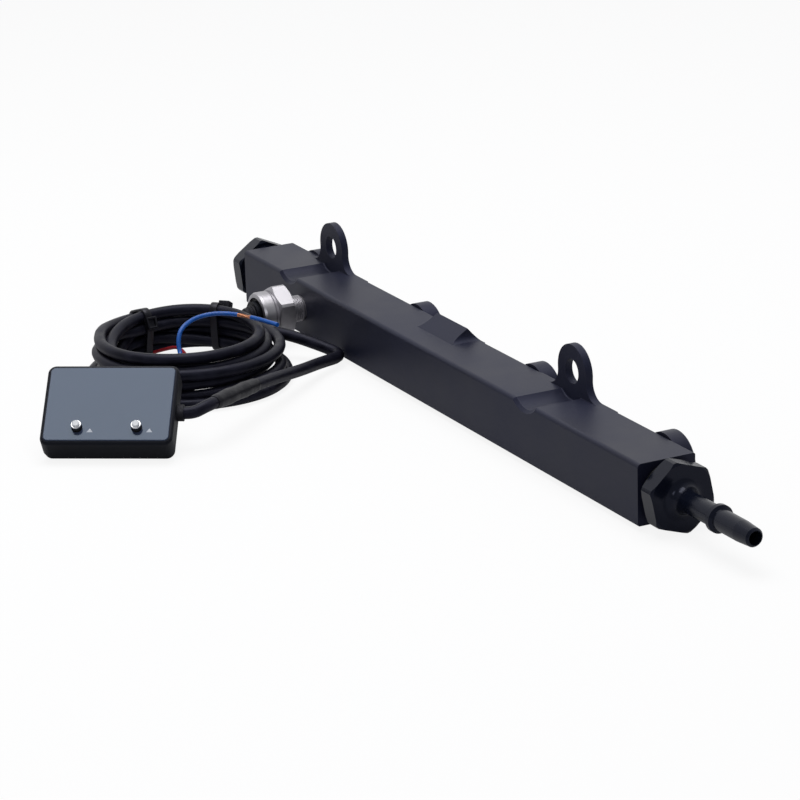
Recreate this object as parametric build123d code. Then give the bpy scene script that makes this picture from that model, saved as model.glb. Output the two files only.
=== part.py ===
from build123d import *
import math
import os

# Aftermarket fuel rail for a four cylinder engine, milled from one aluminium bar, with a quick
# connect inlet at one end, a hexagon plug at the other, a stainless pressure sensor in its front
# face, and the sensor's coiled cable with the small pressure meter on its end.
# Millimetres. +X runs along the rail to the inlet, +Y points to the injectors, +Z is up.
# The origin lies half way between the axes of the two ear holes, on the rail's mounting face.

# Rail bar
RAIL_DEPTH = 23.5
RAIL_HEIGHT = 23.0
RAIL_INLET_X = 180.0
EDGE_RADIUS = 0.8
FRONT_TOP_RADIUS = 1.6
GALLERY_DIAMETER = 15.0

# Mounting ears and the tool clearance grooves in front of them
EAR_SPACING = 200.0
EAR_HOLE_DIAMETER = 9.5
EAR_OUTER_RADIUS = 10.25
EAR_ABOVE_RAIL = 8.5
EAR_THICKNESS = 3.0
EAR_FLARE_RADIUS = 6.8
GROOVE_RADIUS = 11.25
GROOVE_RIM = 1.2
EAR_ROOT_RADIUS = 0.6

# Injector bosses
INJECTOR_COUNT = 4
INJECTOR_PITCH = 94.0
INJECTOR_FIRST_FROM_END = 21.0
INJECTOR_LAST_FROM_END = 20.0
INJECTOR_ABOVE_BASE = 12.5
BOSS_DIAMETER = 23.2
BOSS_PROUD = 6.6
BOSS_RIM = 0.5
LAND_WIDTH = 26.2
LAND_PROUD = 0.6
POCKET_DIAMETER = 14.0
POCKET_LEAD_IN = 0.8

# The bar is as long as the row of bosses and a margin at each end
RAIL_LENGTH = INJECTOR_FIRST_FROM_END + (INJECTOR_COUNT - 1) * INJECTOR_PITCH + INJECTOR_LAST_FROM_END

# Roof shaped block on the rail
BLOCK_LENGTH = 25.0
BLOCK_START_X = -3.0
BLOCK_RIDGE_FROM_BACK = 4.3
BLOCK_FRONT_FROM_BACK = 12.2
BLOCK_RIDGE_HEIGHT = 4.9
BLOCK_ROOT = 2.0
BLOCK_END_RADIUS = 3.0

# End ports with their seals
PORT_DIAMETER = 19.0
PORT_DEPTH = 12.0
PORT_LEAD_IN = 0.6
THREAD_LEAD_IN = 0.8
THREAD_SHORT_OF_PORT = 1.0
NECK_LENGTH = 3.5
THREAD_CLEARANCE = 0.1
NECK_DIAMETER = 16.4
O_RING_SECTION = 2.2
O_RING_CLEARANCE = 0.05
COLLAR_DIAMETER = 22.0
COLLAR_LENGTH = 1.5

# Hexagon of the inlet fitting and of the end plug
HEX_ACROSS_FLATS = 24.0
HEX_TURNED_DIAMETER = 27.0
HEX_LENGTH = 7.0
HEX_BEVEL = 0.6
INLET_HEX_TURN = -18.4
PLUG_HEX_TURN = 24.0
PLUG_DRILL_DIAMETER = 11.0
PLUG_DRILL_DEPTH = 9.0
HEX_BEVEL_SLOPE = 1.7

# Quick connect spigot, lengths measured from the outer face of its hexagon
SPIGOT_DIAMETER = 7.9
SPIGOT_LENGTH = 45.3
SPIGOT_BORE = 5.0
CONE_DIAMETER = 17.0
CONE_LENGTH = 7.0
BEAD_DIAMETER = 10.3
BEAD_START = 21.3
BEAD_LENGTH = 3.5
BEAD_BEVEL = 0.8
TIP_TAPER_LENGTH = 8.0
TIP_DIAMETER = 6.3
TIP_BEVEL = 0.3
TIP_BEVEL_LENGTH = 0.8
SPIGOT_MOUTH_WALL = 3.0
SPIGOT_MOUTH_LENGTH = 4.0

# Pressure sensor, lengths measured outwards from the rail's front face
SENSOR_X = -88.4
SENSOR_THREAD_DIAMETER = 10.2
SENSOR_THREAD_VISIBLE = 6.8
SENSOR_THREAD_ENGAGED = 4.0
PIPE_TAPER = 1.0 / 32.0
SENSOR_PORT_DIAMETER = 3.5
SENSOR_HEX_ACROSS_FLATS = 20.0
SENSOR_HEX_LENGTH = 7.2
SENSOR_HEX_TURNED_DIAMETER = 22.4
SENSOR_HEX_TURN = 28.0
SHELL_DIAMETER = 19.0
SHELL_WALL = 1.1
SHELL_LENGTH = 6.5
SHELL_LIP = 0.9
SHELL_GROOVE_DEPTH = 0.4
SHELL_GROOVE_LENGTH = 0.6
SHELL_SHOULDER = 0.8
SHELL_ROUNDING = 1.2
SENSOR_HEX_BEVEL = 0.9
SENSOR_TAP_ALLOWANCE = 0.2
CHAMBER_INTO_HEX = 4.5
CELL_DIAMETER = 15.0
CELL_THICKNESS = 3.2
CELL_SEAL_SECTION = 1.6
SENSOR_BOARD_MARGIN = 0.5
SENSOR_BOARD_RATIO = 0.7
SENSOR_BOARD_THICKNESS = 1.0
FIT_CLEARANCE = 0.1
CRIMP_GAP = 0.02
INSERT_NOSE_DIAMETER = 12.0
INSERT_NOSE_LENGTH = 1.6
GLAND_DIAMETER = 9.6
GLAND_END_DIAMETER = 7.2
GLAND_LENGTH = 3.5
GLAND_GROOVES = (1.1, 2.3)
GLAND_GROOVE_RADIUS = 0.45
GLAND_GROOVE_LIFT = 0.1

# Cable, its coil and its ties
CABLE_DIAMETER = 4.8
COIL_CENTRE_X = -61.0
COIL_CENTRE_Y = -86.6
COIL_INNER_RADIUS = 25.0
COIL_OUTER_RADIUS = 39.5
COIL_HEIGHT = 19.5
COIL_ROUNDING = 4.5
TIE_ANGLES = (187.0, 135.0)
TIE_WIDTH = 3.6
TIE_THICKNESS = 1.1
TIE_GAP = 0.15
TIE_HEAD_LENGTH = 6.0
TIE_HEAD_WIDTH = 5.2
TIE_HEAD_HEIGHT = 3.6
TIE_HEAD_CHAMFER = 0.8
TIE_TAIL_LENGTH = 3.0
TIE_TAIL_OUT = 1.2
TIE_TAIL_NARROWER = 0.8
TIE_TAIL_HEIGHT_RATIO = 0.55
WIRE_DIAMETER = 1.7
SHRINK_WALL = 0.6
SHRINK_GAP = 0.05
SHRINK_START = 0.16
SHRINK_END = 0.46

# Pressure meter, in its own frame: x along its front edge, y up its slope, z out of its face
METER_WIDTH = 50.2
METER_DEPTH = 35.4
METER_THICKNESS = 12.3
METER_YAW = 57.4
METER_TILT = 38.0
METER_X = 8.6
METER_Y = -150.6
METER_CORNER_RADIUS = 3.2
METER_WALL = 1.6
COVER_HEIGHT = 3.2
COVER_INSET = 0.35
COVER_ROUNDING = 1.5
RIM_ROUNDING = 1.2
FACE_THICKNESS = 1.5
FACE_INSET = 1.35
FACE_PROUD = 0.4
FACE_CLEARANCE = 0.1
FACE_CHAMFER = 0.25
LEDGE_WIDTH = 2.2
LEDGE_THICKNESS = 1.0
BOARD_THICKNESS = 1.6
BOARD_GAP = 1.2
POST_ROOT = 0.5
DISPLAY_WIDTH = 23.0
DISPLAY_DEPTH = 11.0
DISPLAY_Y = 20.0
SCREW_INSET = 4.6
SCREW_SHANK_DIAMETER = 1.9
SCREW_HEAD_DIAMETER = 3.6
SCREW_HEAD_HEIGHT = 1.0
SCREW_LENGTH = 6.0
SCREW_RECESS = 0.2
SCREW_HOLE_SPARE = 1.6
SCREW_SLOT_LENGTH = 2.4
SCREW_SLOT_WIDTH = 0.5
SCREW_SLOT_DEPTH = 0.8
SCREW_PLAY = 0.05
POST_DIAMETER = 4.6
SLEEVE_WIDTH = 6.6
SLEEVE_HEIGHT = 5.2
SLEEVE_LENGTH = 2.5
SLEEVE_FLANGE_THICKNESS = 1.0
SLEEVE_FLANGE_GROWTH = 0.5
SLEEVE_Y = 17.3
SLEEVE_Z = 6.5

# Push buttons, from the middle of the meter's front edge
BUTTON_FROM_LEFT = 13.9
BUTTON_FROM_RIGHT = 13.7
BUTTON_Y = 6.9
BUTTON_DIAMETER = 3.6
BUTTON_HOLE_CLEARANCE = 0.3
BUTTON_PROUD = 3.3
BUTTON_TRAVEL = 0.4
CAP_RING_DIAMETER = 3.9
CAP_RING_THICKNESS = 0.5
CAP_RING_CHAMFER = 0.2
CAP_DOME_DIAMETER = 3.0
CAP_DOME_HEIGHT = 0.8
CAP_DOME_ROUNDING = 0.55
CAP_DOME_ROOT = 0.4
SWITCH_SIZE = 6.0
SWITCH_HEIGHT = 3.2
SWITCH_FLOOR = 0.6
SWITCH_LID = 0.5
STEM_FOOT_DIAMETER = 4.4
STEM_CLEARANCE = 0.05

# Places that follow from the sizes above
rail_end_x = RAIL_INLET_X - RAIL_LENGTH
rail_mid_y = -RAIL_DEPTH / 2
rail_top = -EAR_ABOVE_RAIL
rail_base = rail_top - RAIL_HEIGHT
rail_mid_z = rail_base + RAIL_HEIGHT / 2
injector_z = rail_base + INJECTOR_ABOVE_BASE
injector_xs = [RAIL_INLET_X - INJECTOR_FIRST_FROM_END - INJECTOR_PITCH * i for i in range(INJECTOR_COUNT)]
floor_z = rail_mid_z - HEX_TURNED_DIAMETER / 2

inlet_frame = Plane(origin=(RAIL_INLET_X, rail_mid_y, rail_mid_z), x_dir=(0, 1, 0), z_dir=(1, 0, 0))
plug_frame = Plane(origin=(rail_end_x, rail_mid_y, rail_mid_z), x_dir=(0, 1, 0), z_dir=(-1, 0, 0))
sensor_frame = Plane(origin=(SENSOR_X, -RAIL_DEPTH, rail_mid_z), x_dir=(1, 0, 0), z_dir=(0, -1, 0))

thread_end = THREAD_SHORT_OF_PORT - PORT_DEPTH
collar_start = O_RING_SECTION + 2 * O_RING_CLEARANCE
hex_start = collar_start + COLLAR_LENGTH
hex_end = hex_start + HEX_LENGTH

sensor_hex_end = SENSOR_THREAD_VISIBLE + SENSOR_HEX_LENGTH
sensor_shell_end = sensor_hex_end + SHELL_LENGTH
chamber_radius = SHELL_DIAMETER / 2 - SHELL_WALL
chamber_floor = sensor_hex_end - CHAMBER_INTO_HEX
cell_floor = chamber_floor + CELL_SEAL_SECTION
cell_top = cell_floor + CELL_THICKNESS
insert_floor = cell_top + SENSOR_BOARD_THICKNESS + FIT_CLEARANCE
insert_top = sensor_shell_end - SHELL_LIP
nose_top = sensor_shell_end + INSERT_NOSE_LENGTH
gland_end = nose_top + GLAND_LENGTH

coil_base = floor_z + TIE_THICKNESS + TIE_GAP
coil_top = coil_base + COIL_HEIGHT
cable_radius = CABLE_DIAMETER / 2

tilt = math.radians(METER_TILT)
yaw = math.radians(METER_YAW)
meter_right = Vector(math.cos(yaw), math.sin(yaw), 0)
meter_normal = Vector(math.sin(yaw) * math.sin(tilt), -math.cos(yaw) * math.sin(tilt), math.cos(tilt))
# The rounded bottom edge touches the floor, so the sharp corner that it replaces lies below it.
edge_lift = COVER_INSET * math.sin(tilt) + COVER_ROUNDING * (math.sin(tilt) + math.cos(tilt) - 1)
meter_frame = Plane(origin=(METER_X, METER_Y, floor_z - edge_lift), x_dir=meter_right, z_dir=meter_normal)

face_top = METER_THICKNESS
face_base = face_top - FACE_THICKNESS
rim_top = face_top - FACE_PROUD
button_xs = (BUTTON_FROM_LEFT - METER_WIDTH / 2, METER_WIDTH / 2 - BUTTON_FROM_RIGHT)
board_base = COVER_HEIGHT
board_top = board_base + BOARD_THICKNESS
stem_foot_top = board_top + SWITCH_HEIGHT - SWITCH_LID - STEM_CLEARANCE
screw_places = [
    (side * (METER_WIDTH / 2 - SCREW_INSET), y)
    for side in (-1, 1)
    for y in (SCREW_INSET, METER_DEPTH - SCREW_INSET)
]

os.makedirs("parts", exist_ok=True)


def save(shape, name):
    """Write one sub-part, placed in the rail's frame, to its own file."""
    export_step(shape, f"parts/{name}.step")


def turned(points):
    """Turn an outline of (radius, height) points about Z."""
    outline = make_face(Polyline(*[(radius, 0, height) for radius, height in points], close=True))
    return revolve(outline, axis=Axis.Z)


def disc(radius, bottom, top):
    """A cylinder about Z between two heights."""
    return Pos(0, 0, bottom) * Cylinder(radius, top - bottom, align=(Align.CENTER, Align.CENTER, Align.MIN))


def ring(radius, section_radius, height):
    """An O-ring about Z whose section's centre lies at the given radius and height."""
    return Pos(0, 0, height) * Torus(radius, section_radius)


def slab(width, depth, bottom, top, corner):
    """A plate with rounded corners in the meter's frame, its outline centred on the meter's."""
    outline = Pos(0, METER_DEPTH / 2) * RectangleRounded(width, depth, corner)
    return Pos(0, 0, bottom) * extrude(outline, top - bottom)


def in_frame(frame, shape):
    """Carry a shape from its own frame to its place on the rail."""
    return frame.location * shape


# Rail body


def rail_bar():
    """The bar, its long edges broken and the upper front one more rounded."""
    outline = Pos(rail_mid_y, rail_mid_z) * Rectangle(RAIL_DEPTH, RAIL_HEIGHT)
    corners = outline.vertices().sort_by(lambda v: v.X + v.Y)
    upper_front = [v for v in corners if v.X < rail_mid_y and v.Y > rail_mid_z]
    others = [v for v in corners if not (v.X < rail_mid_y and v.Y > rail_mid_z)]
    outline = fillet(upper_front, FRONT_TOP_RADIUS)
    kept = [v for v in outline.vertices() if any(v.distance_to(o) < 0.01 for o in others)]
    outline = fillet(kept, EDGE_RADIUS)
    return extrude(Pos(rail_end_x, 0, 0) * (Plane.YZ * outline), RAIL_LENGTH, dir=(1, 0, 0))


def ear(centre_x):
    """One ear: a round eye that flares into the top of the rail at the mounting face."""
    root = 3 * EAR_OUTER_RADIUS
    eye = Circle(EAR_OUTER_RADIUS)
    base = Pos(0, rail_top - RAIL_HEIGHT / 4) * Rectangle(2 * root, RAIL_HEIGHT / 2)
    outline = eye + base
    notches = [v for v in outline.vertices() if abs(v.Y - rail_top) < 0.01 and abs(v.X) < EAR_OUTER_RADIUS]
    outline = fillet(notches, EAR_FLARE_RADIUS)
    window = Pos(0, 0) * Rectangle(1.8 * root, 2 * (RAIL_HEIGHT / 4 + EAR_ABOVE_RAIL))
    outline = outline & window
    return Pos(centre_x, 0, 0) * extrude(Plane.XZ * outline, EAR_THICKNESS, dir=(0, -1, 0))


def ear_cuts(centre_x):
    """The ear's hole, and the groove in front of it that lets a bolt head and its tool in."""
    hole = Plane.XZ * Circle(EAR_HOLE_DIAMETER / 2)
    groove = Plane.XZ * Circle(GROOVE_RADIUS)
    drill = extrude(hole, RAIL_DEPTH, dir=(0, -1, 0), both=True)
    cutter = Pos(0, -EAR_THICKNESS, 0) * extrude(groove, RAIL_DEPTH, dir=(0, -1, 0))
    root = cutter.edges().filter_by(GeomType.CIRCLE).sort_by(Axis.Y)[-1]
    cutter = fillet(root, EAR_ROOT_RADIUS)
    flare = Cone(
        GROOVE_RADIUS,
        GROOVE_RADIUS + GROOVE_RIM,
        GROOVE_RIM,
        align=(Align.CENTER, Align.CENTER, Align.MAX),
    )
    front = Plane(origin=(0, -RAIL_DEPTH, 0), x_dir=(1, 0, 0), z_dir=(0, -1, 0))
    return Pos(centre_x, 0, 0) * (drill + cutter + in_frame(front, flare))


def boss(centre_x):
    """A round injector boss on its rectangular machined land."""
    land = Pos(centre_x, 0, rail_mid_z) * Box(LAND_WIDTH, 2 * LAND_PROUD, RAIL_HEIGHT - 2 * EDGE_RADIUS)
    collar = Plane.XZ * Circle(BOSS_DIAMETER / 2)
    collar = extrude(collar, BOSS_PROUD, dir=(0, 1, 0))
    rim = collar.edges().filter_by(GeomType.CIRCLE).sort_by(Axis.Y)[-1]
    collar = chamfer(rim, BOSS_RIM)
    return land + Pos(centre_x, 0, injector_z) * collar


def pocket(centre_x):
    """The injector's bore, open to the gallery, with a lead-in for the injector's seal."""
    depth = BOSS_PROUD - rail_mid_y
    bore = disc(POCKET_DIAMETER / 2, -depth, 1)
    lead_in = Pos(0, 0, -POCKET_LEAD_IN) * Cone(
        POCKET_DIAMETER / 2,
        POCKET_DIAMETER / 2 + POCKET_LEAD_IN,
        POCKET_LEAD_IN,
        align=(Align.CENTER, Align.CENTER, Align.MIN),
    )
    mouth = Plane(origin=(centre_x, BOSS_PROUD, injector_z), x_dir=(1, 0, 0), z_dir=(0, 1, 0))
    return in_frame(mouth, bore + lead_in)


def roof_block():
    """The roof shaped block between the middle bosses, its two ends blended into the bar's top."""
    ridge = (-BLOCK_RIDGE_FROM_BACK, rail_top + BLOCK_RIDGE_HEIGHT)
    foot = rail_top - BLOCK_ROOT
    outline = make_face(
        Polyline(
            (-BLOCK_FRONT_FROM_BACK, rail_top),
            ridge,
            (0, rail_top),
            (0, foot),
            (-BLOCK_FRONT_FROM_BACK, foot),
            close=True,
        )
    )
    reach = BLOCK_LENGTH + 4 * BLOCK_END_RADIUS
    middle_x = BLOCK_START_X + BLOCK_LENGTH / 2
    prism = extrude(Pos(middle_x, 0, 0) * (Plane.YZ * outline), reach / 2, dir=(1, 0, 0), both=True)
    block = Pos(middle_x, rail_top) * Rectangle(BLOCK_LENGTH, 2 * BLOCK_RIDGE_HEIGHT)
    root = Pos(middle_x, rail_top - BLOCK_ROOT / 2) * Rectangle(reach, BLOCK_ROOT)
    side = block + root
    on_top = [v for v in side.vertices() if abs(v.Y - rail_top) < 0.01]
    feet = [v for v in on_top if abs(v.X - middle_x) < (BLOCK_LENGTH + reach) / 4]
    side = fillet(feet, BLOCK_END_RADIUS)
    return prism & extrude(Plane.XZ * side, RAIL_DEPTH, both=True)


def end_port():
    """The threaded port that each end of the gallery opens into."""
    mouth = Cone(
        PORT_DIAMETER / 2,
        PORT_DIAMETER / 2 + PORT_LEAD_IN,
        PORT_LEAD_IN,
        align=(Align.CENTER, Align.CENTER, Align.MAX),
    )
    return disc(PORT_DIAMETER / 2, -PORT_DEPTH, 1) + mouth


def sensor_thread(clearance):
    """The tapered pipe thread of the sensor, or the hole it screws into."""
    near = SENSOR_THREAD_DIAMETER / 2 + clearance
    low = -SENSOR_THREAD_ENGAGED
    high = SENSOR_THREAD_VISIBLE
    return turned([(0, low), (near + low * PIPE_TAPER, low), (near + high * PIPE_TAPER, high), (0, high)])


def rail_body():
    body = rail_bar() + roof_block()
    for centre_x in injector_xs:
        body += boss(centre_x)
    for side in (-1, 1):
        body += ear(side * EAR_SPACING / 2)
    for side in (-1, 1):
        body -= ear_cuts(side * EAR_SPACING / 2)
    gallery = Plane.YZ * (Pos(rail_mid_y, rail_mid_z) * Circle(GALLERY_DIAMETER / 2))
    body -= extrude(Pos(rail_end_x - 1, 0, 0) * gallery, RAIL_LENGTH + 2, dir=(1, 0, 0))
    for centre_x in injector_xs:
        body -= pocket(centre_x)
    body -= in_frame(inlet_frame, end_port())
    body -= in_frame(plug_frame, end_port())
    tap_drill = SENSOR_THREAD_DIAMETER / 2 - SENSOR_TAP_ALLOWANCE
    hole = sensor_thread(THREAD_CLEARANCE) + disc(tap_drill, rail_mid_y, 0)
    body -= in_frame(sensor_frame, hole)
    return body


# Inlet fitting, end plug and their seals


def hexagon(across_flats, turned_diameter, bottom, top, bevel, turn):
    """A hexagon bar with its corners turned round and both its ends bevelled."""
    bar = Pos(0, 0, bottom) * extrude(
        RegularPolygon(across_flats / 2, 6, major_radius=False, rotation=turn), top - bottom
    )
    low = turned_diameter / 2 - HEX_BEVEL_SLOPE * bevel
    blank = turned(
        [
            (0, bottom),
            (low, bottom),
            (turned_diameter / 2, bottom + bevel),
            (turned_diameter / 2, top - bevel),
            (low, top),
            (0, top),
        ]
    )
    return bar & blank


def threaded_end():
    """Thread, seal neck and collar, the same on the fitting and the plug."""
    thread = disc(PORT_DIAMETER / 2 - THREAD_CLEARANCE, thread_end, -NECK_LENGTH)
    thread = chamfer(thread.edges().filter_by(GeomType.CIRCLE).sort_by(Axis.Z)[0], THREAD_LEAD_IN)
    neck = disc(NECK_DIAMETER / 2, -NECK_LENGTH, collar_start)
    return thread + neck + disc(COLLAR_DIAMETER / 2, collar_start, hex_start)


def spigot():
    """The quick connect tube with its waisted base, locking bead and tapered tip."""
    tube = SPIGOT_DIAMETER / 2
    cone = CONE_DIAMETER / 2
    start = hex_end
    waist_end = start + CONE_LENGTH
    bead = start + BEAD_START
    bead_end = bead + BEAD_LENGTH
    tip = start + SPIGOT_LENGTH
    waist = Spline((cone, start), (tube, waist_end), tangents=((-1, 0), (0, 1)))
    side = Polyline(
        (tube, waist_end),
        (tube, bead),
        (BEAD_DIAMETER / 2, bead + BEAD_BEVEL),
        (BEAD_DIAMETER / 2, bead_end - BEAD_BEVEL),
        (tube, bead_end),
        (tube, tip - TIP_TAPER_LENGTH),
        (TIP_DIAMETER / 2 + TIP_BEVEL, tip - TIP_BEVEL_LENGTH),
        (TIP_DIAMETER / 2 - TIP_BEVEL, tip),
        (0, tip),
        (0, start - 1),
        (cone, start - 1),
        (cone, start),
    )
    return revolve(Plane.XZ * make_face([waist, side]), axis=Axis.Z)


def inlet_fitting():
    body = threaded_end()
    body += hexagon(HEX_ACROSS_FLATS, HEX_TURNED_DIAMETER, hex_start, hex_end, HEX_BEVEL, INLET_HEX_TURN)
    body += spigot()
    bore = disc(SPIGOT_BORE / 2, -PORT_DEPTH, hex_end + SPIGOT_LENGTH + 1)
    mouth = Pos(0, 0, thread_end) * Cone(
        PORT_DIAMETER / 2 - SPIGOT_MOUTH_WALL,
        SPIGOT_BORE / 2,
        SPIGOT_MOUTH_LENGTH,
        align=(Align.CENTER, Align.CENTER, Align.MIN),
    )
    return in_frame(inlet_frame, body - bore - mouth)


def end_plug():
    body = threaded_end()
    body += hexagon(HEX_ACROSS_FLATS, HEX_TURNED_DIAMETER, hex_start, hex_end, HEX_BEVEL, PLUG_HEX_TURN)
    body -= disc(PLUG_DRILL_DIAMETER / 2, -PORT_DEPTH, thread_end + PLUG_DRILL_DEPTH)
    return in_frame(plug_frame, body)


def face_seal(frame):
    """The O-ring round the neck, between the rail's end face and the collar."""
    centre = NECK_DIAMETER / 2 + FIT_CLEARANCE + O_RING_SECTION / 2
    return in_frame(frame, ring(centre, O_RING_SECTION / 2, O_RING_SECTION / 2 + O_RING_CLEARANCE))


# Pressure sensor


def sensor_body():
    """Pipe thread, hexagon and the thin shell that is crimped over the insert."""
    outer = SHELL_DIAMETER / 2
    body = sensor_thread(0)
    body += hexagon(
        SENSOR_HEX_ACROSS_FLATS,
        SENSOR_HEX_TURNED_DIAMETER,
        SENSOR_THREAD_VISIBLE,
        sensor_hex_end,
        SENSOR_HEX_BEVEL,
        SENSOR_HEX_TURN,
    )
    shell = turned(
        [
            (0, sensor_hex_end - 1),
            (outer - SHELL_GROOVE_DEPTH, sensor_hex_end - 1),
            (outer - SHELL_GROOVE_DEPTH, sensor_hex_end + SHELL_GROOVE_LENGTH),
            (outer, sensor_hex_end + SHELL_GROOVE_LENGTH + SHELL_SHOULDER),
            (outer, sensor_shell_end - SHELL_ROUNDING),
            (outer - 0.4 * SHELL_ROUNDING, sensor_shell_end - 0.25 * SHELL_ROUNDING),
            (outer - SHELL_ROUNDING, sensor_shell_end),
            (0, sensor_shell_end),
        ]
    )
    body += shell
    body -= disc(SENSOR_PORT_DIAMETER / 2, -SENSOR_THREAD_ENGAGED - 1, chamber_floor + 1)
    body -= disc(chamber_radius, chamber_floor, insert_top)
    body -= disc(chamber_radius - SHELL_LIP, insert_top - 1, sensor_shell_end + 1)
    return in_frame(sensor_frame, body)


def sensor_cell():
    """The ceramic pressure cell that stands on its seal in the chamber."""
    return in_frame(sensor_frame, disc(CELL_DIAMETER / 2, cell_floor, cell_top - FIT_CLEARANCE))


def sensor_seal():
    section = CELL_SEAL_SECTION / 2
    return in_frame(sensor_frame, ring(CELL_DIAMETER / 2 - 2 * section, section, chamber_floor + section))


def sensor_board():
    """The amplifier board on the back of the cell."""
    disc_outline = Circle(CELL_DIAMETER / 2 - SENSOR_BOARD_MARGIN)
    outline = disc_outline & Rectangle(CELL_DIAMETER, CELL_DIAMETER * SENSOR_BOARD_RATIO)
    return in_frame(sensor_frame, Pos(0, 0, cell_top) * extrude(outline, SENSOR_BOARD_THICKNESS))


def sensor_insert():
    """The moulded plug under the crimped lip, with a nose for the cable gland."""
    flange = disc(chamber_radius - FIT_CLEARANCE, insert_floor, insert_top - CRIMP_GAP)
    nose = disc(INSERT_NOSE_DIAMETER / 2, insert_top - 1, nose_top)
    return in_frame(sensor_frame, flange + nose)


def sensor_gland():
    """The soft boot that the cable leaves through, with two shallow grooves."""
    wide = GLAND_DIAMETER / 2
    narrow = GLAND_END_DIAMETER / 2
    boot = turned([(0, nose_top), (wide, nose_top), (narrow, gland_end), (0, gland_end)])
    for height in GLAND_GROOVES:
        surface = wide - (wide - narrow) * height / GLAND_LENGTH
        boot -= ring(surface + GLAND_GROOVE_LIFT, GLAND_GROOVE_RADIUS, nose_top + height)
    return in_frame(sensor_frame, boot)


# Cable, coil, ties and wires


def route(points, name):
    """Straight runs joined by tangent arcs, each arc as large as its two runs allow."""
    points = [Vector(p) for p in points]
    runs = [b - a for a, b in zip(points, points[1:])]
    radii = []
    for before, after in zip(runs, runs[1:]):
        half_turn = math.radians(before.get_angle(after)) / 2
        radii.append(0.45 * min(before.length, after.length) / math.tan(half_turn))
    print(name, "radii", [round(r, 1) for r in radii])
    return FilletPolyline(*points, radius=radii)


def tube(path, radius, name):
    """A round tube along a path, its volume compared with section times length."""
    start = Plane(origin=path @ 0, z_dir=path % 0)
    solid = sweep(start * Circle(radius), path=path)
    expected = math.pi * radius**2 * path.length
    print(name, "volume", round(solid.volume, 1), "expected", round(expected, 1))
    return solid


def sensor_lead_route():
    """From the gland into the outer turns of the coil."""
    exit_y = -RAIL_DEPTH - gland_end
    return [
        (SENSOR_X, exit_y, rail_mid_z),
        (SENSOR_X, exit_y - 4.1, rail_mid_z),
        (SENSOR_X - 6.9, exit_y - 9.3, rail_mid_z + 0.2),
        (SENSOR_X - 10.9, exit_y - 17.6, rail_mid_z + 0.4),
        (SENSOR_X - 11.5, exit_y - 26.6, rail_mid_z + 0.5),
        (SENSOR_X - 8.9, exit_y - 34.6, rail_mid_z + 0.5),
    ]


def sleeve_end():
    """Where the lead meets the end of the meter's sleeve."""
    place = Vector(METER_WIDTH / 2 + SLEEVE_LENGTH, SLEEVE_Y, SLEEVE_Z)
    return meter_frame.from_local_coords(place)


def meter_lead_route():
    """From the meter's sleeve round the fold beside the rail and back into the coil."""
    start = sleeve_end()
    return [
        start,
        start + meter_right * 3.6,
        (17.4, -114.7, -17.0),
        (14.8, -108.8, -16.7),
        (-8.6, -78.7, -20.5),
        (-27.2, -53.7, -25.5),
        (-39.3, -39.0, -28.0),
        (-48.2, -27.8, -29.6),
        (-58.5, -31.0, -28.0),
        (-67.5, -40.0, -24.5),
        (-77.0, -50.5, -22.0),
    ]


def cable_coil():
    """The outer shape of the hand-coiled cable."""
    depth = COIL_OUTER_RADIUS - COIL_INNER_RADIUS
    middle = COIL_INNER_RADIUS + depth / 2
    section = Pos(middle, coil_base + COIL_HEIGHT / 2) * RectangleRounded(depth, COIL_HEIGHT, COIL_ROUNDING)
    return Pos(COIL_CENTRE_X, COIL_CENTRE_Y, 0) * revolve(Plane.XZ * section, axis=Axis.Z)


def cable_tie(angle):
    """A strap closed round the coil's turns, with its head on top and a trimmed tail."""
    depth = COIL_OUTER_RADIUS - COIL_INNER_RADIUS + 2 * TIE_GAP
    height = COIL_HEIGHT + 2 * TIE_GAP
    middle = COIL_INNER_RADIUS + (COIL_OUTER_RADIUS - COIL_INNER_RADIUS) / 2
    centre_z = coil_base + COIL_HEIGHT / 2
    inner = RectangleRounded(depth, height, COIL_ROUNDING)
    outer = RectangleRounded(
        depth + 2 * TIE_THICKNESS,
        height + 2 * TIE_THICKNESS,
        COIL_ROUNDING + TIE_THICKNESS,
    )
    strap = extrude(Plane.XZ * (Pos(middle, centre_z) * (outer - inner)), TIE_WIDTH / 2, both=True)
    top = coil_top + TIE_GAP
    head = Pos(middle, 0, top + TIE_HEAD_HEIGHT / 2) * Box(TIE_HEAD_LENGTH, TIE_HEAD_WIDTH, TIE_HEAD_HEIGHT)
    head = chamfer(head.edges().filter_by(Axis.Y).group_by(Axis.Z)[-1], TIE_HEAD_CHAMFER)
    tail_x = middle + TIE_HEAD_LENGTH / 2 + TIE_TAIL_OUT
    tail = Box(TIE_TAIL_LENGTH, TIE_WIDTH - TIE_TAIL_NARROWER, TIE_THICKNESS)
    tail = Pos(tail_x, 0, top + TIE_HEAD_HEIGHT * TIE_TAIL_HEIGHT_RATIO) * tail
    placed = Pos(COIL_CENTRE_X, COIL_CENTRE_Y, 0) * Rot(0, 0, angle)
    return placed * (strap + head + tail)


def heat_shrink(lead_path):
    """The shrunk sleeve over the joint in the meter's lead."""
    path = lead_path.trim(SHRINK_START, SHRINK_END)
    start = Plane(origin=path @ 0, z_dir=path % 0)
    inner = cable_radius + SHRINK_GAP
    return sweep(start * (Circle(inner + SHRINK_WALL) - Circle(inner)), path=path)


BLUE_WIRE_ROUTE = [
    (-36.5, -97.0, -17.0),
    (-50.0, -93.5, -16.5),
    (-61.5, -89.5, -13.2),
    (-71.5, -82.0, -11.6),
    (-76.0, -71.8, -11.8),
    (-71.0, -63.5, -11.2),
    (-60.0, -57.5, -11.0),
    (-46.0, -53.7, -11.2),
]

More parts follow.
